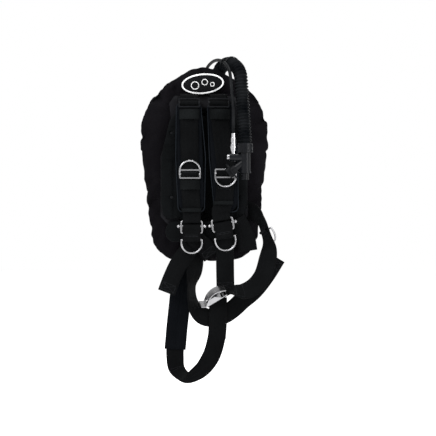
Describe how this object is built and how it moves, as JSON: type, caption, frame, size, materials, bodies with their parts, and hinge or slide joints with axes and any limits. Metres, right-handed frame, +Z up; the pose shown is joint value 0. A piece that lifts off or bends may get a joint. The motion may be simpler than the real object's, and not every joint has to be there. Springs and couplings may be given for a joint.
{
  "type": "buoyancy compensator",
  "caption": "Diving buoyancy compensator: ring-shaped air cell, backplate, padded webbing harness, power inflator on a corrugated hose, and cam bands for one cylinder.",
  "frame": {"origin": "midway between the two bolt holes of the backplate, on its front face", "axes": "+Z up, +X towards the wearer's left, -Y towards the wearer, +Y towards the cylinder"},
  "size_m": [0.4072, 0.3498, 0.9165],
  "materials": {
    "webbing": "woven nylon webbing",
    "cover_nylon": "coated ballistic nylon",
    "bladder": "welded urethane",
    "patch": "embroidered",
    "pad_mesh": "spacer mesh",
    "pad_neoprene": "neoprene",
    "rubber": "satin",
    "aluminium": "black anodised",
    "chrome": "polished",
    "button_metal": "satin",
    "steel": "polished stainless",
    "black_plastic": "moulded"
  },
  "bodies": {
    "harness_and_wing": {"adjuster_frame_left": "steel", "adjuster_frame_right": "steel", "back_pad": "pad_mesh", "backplate": "aluminium", "chest_slides": "steel", "crotch_pad": "pad_neoprene", "crotch_strap": "webbing", "dump_cap": "black_plastic", "dump_housing": "black_plastic", "elbow_flange": "black_plastic", "hip_strap_left": "webbing", "hip_tab": "webbing", "ladder_buckles": "black_plastic", "lower_cam_band": "webbing", "lower_cam_frame": "steel", "lumbar_pad": "pad_mesh", "name_patch": "patch", "pad_screws": "black_plastic", "shoulder_pad_left": "pad_neoprene", "shoulder_pad_right": "pad_neoprene", "shoulder_strap_left": "webbing", "shoulder_strap_right": "webbing", "side_strap_left": "webbing", "side_strap_right": "webbing", "tank_rails": "rubber", "upper_cam_band": "webbing", "upper_cam_frame": "steel", "waist_buckle_frame": "steel", "waist_strap_left": "webbing", "waist_strap_right": "webbing", "waist_tail_right": "webbing", "wing_bladder": "bladder", "wing_cover": "cover_nylon"},
    "hose_group": {"inflator_elbow": "black_plastic", "corrugated_hose": "rubber", "hose_collar": "black_plastic", "inflator_body": "black_plastic", "mouthpiece": "rubber", "lp_nipple": "chrome", "lp_coupling": "chrome", "lp_hose": "rubber", "lp_hose_fitting": "chrome", "hose_tie": "rubber"},
    "inflate_button": {"inflate_button": "button_metal"},
    "deflate_button": {"deflate_button": "black_plastic"},
    "coupling_sleeve": {"coupling_sleeve": "chrome"},
    "chest_ring_right": {"chest_ring_right": "steel"},
    "chest_ring_left": {"chest_ring_left": "steel"},
    "lower_ring_right": {"lower_ring_right": "steel"},
    "lower_ring_left": {"lower_ring_left": "steel"},
    "hip_ring": {"hip_ring": "steel"},
    "adjuster_roller_right": {"adjuster_roller_right": "steel"},
    "adjuster_roller_left": {"adjuster_roller_left": "steel"},
    "waist_buckle_lever": {"waist_buckle_lever": "steel"},
    "upper_cam_lever": {"upper_cam_lever": "steel"},
    "lower_cam_lever": {"lower_cam_lever": "steel"},
    "dump_pull": {"dump_poppet": "black_plastic", "dump_cord": "black_plastic", "dump_knob": "black_plastic"}
  },
  "joints": [
    {"name": "elbow_swivel", "type": "hinge", "parent": "harness_and_wing", "child": "hose_group", "pos_m": [0.04, 0.05, 0.221], "axis": [0, 1, 0], "range_deg": [0, 15]},
    {"name": "inflate_press", "type": "slide", "parent": "hose_group", "child": "inflate_button", "axis": [1, 0, 0], "range_m": [0, 0.0035], "stiffness_N_per_m": 900, "springref_m": -0.002},
    {"name": "deflate_press", "type": "slide", "parent": "hose_group", "child": "deflate_button", "axis": [0, 0, 1], "range_m": [0, 0.004], "stiffness_N_per_m": 900, "springref_m": -0.002},
    {"name": "sleeve_pull", "type": "slide", "parent": "hose_group", "child": "coupling_sleeve", "axis": [0, 0, 1], "range_m": [0, 0.004], "stiffness_N_per_m": 1500, "springref_m": -0.001},
    {"name": "chest_ring_right_swing", "type": "hinge", "parent": "harness_and_wing", "child": "chest_ring_right", "pos_m": [-0.039, -0.0718, -0.032], "axis": [1, 0, 0], "range_deg": [0, 165]},
    {"name": "chest_ring_left_swing", "type": "hinge", "parent": "harness_and_wing", "child": "chest_ring_left", "pos_m": [0.06, -0.0718, -0.03], "axis": [-1, 0, 0], "range_deg": [0, 165]},
    {"name": "lower_ring_right_swing", "type": "hinge", "parent": "harness_and_wing", "child": "lower_ring_right", "pos_m": [-0.034, -0.069, -0.215], "axis": [-1, 0, 0], "range_deg": [0, 110]},
    {"name": "lower_ring_left_swing", "type": "hinge", "parent": "harness_and_wing", "child": "lower_ring_left", "pos_m": [0.05825, -0.069, -0.20745], "axis": [-0.9848, 0, -0.1736], "range_deg": [0, 110]},
    {"name": "hip_ring_swing", "type": "hinge", "parent": "harness_and_wing", "child": "hip_ring", "pos_m": [0.17522, -0.04945, -0.18895], "axis": [0.369, -0.8791, 0.3016], "range_deg": [0, 100]},
    {"name": "adjuster_right_lock", "type": "slide", "parent": "harness_and_wing", "child": "adjuster_roller_right", "axis": [0, 0, -1], "range_m": [0, 0.006]},
    {"name": "adjuster_left_lock", "type": "slide", "parent": "harness_and_wing", "child": "adjuster_roller_left", "axis": [0.1736, 0, -0.9848], "range_m": [0, 0.006]},
    {"name": "waist_buckle_open", "type": "hinge", "parent": "harness_and_wing", "child": "waist_buckle_lever", "pos_m": [0.01761, -0.09906, -0.37202], "axis": [0.1246, -0.9703, -0.2074], "range_deg": [0, 110]},
    {"name": "upper_cam_open", "type": "hinge", "parent": "harness_and_wing", "child": "upper_cam_lever", "pos_m": [0.0932, 0.14687, 0.085], "axis": [0, 0, 1], "range_deg": [0, 120]},
    {"name": "lower_cam_open", "type": "hinge", "parent": "harness_and_wing", "child": "lower_cam_lever", "pos_m": [0.0932, 0.14687, -0.085], "axis": [0, 0, 1], "range_deg": [0, 120]},
    {"name": "dump_pull", "type": "slide", "parent": "harness_and_wing", "child": "dump_pull", "axis": [0, 1, 0], "range_m": [0, 0.005], "stiffness_N_per_m": 600, "springref_m": -0.002}
  ]
}
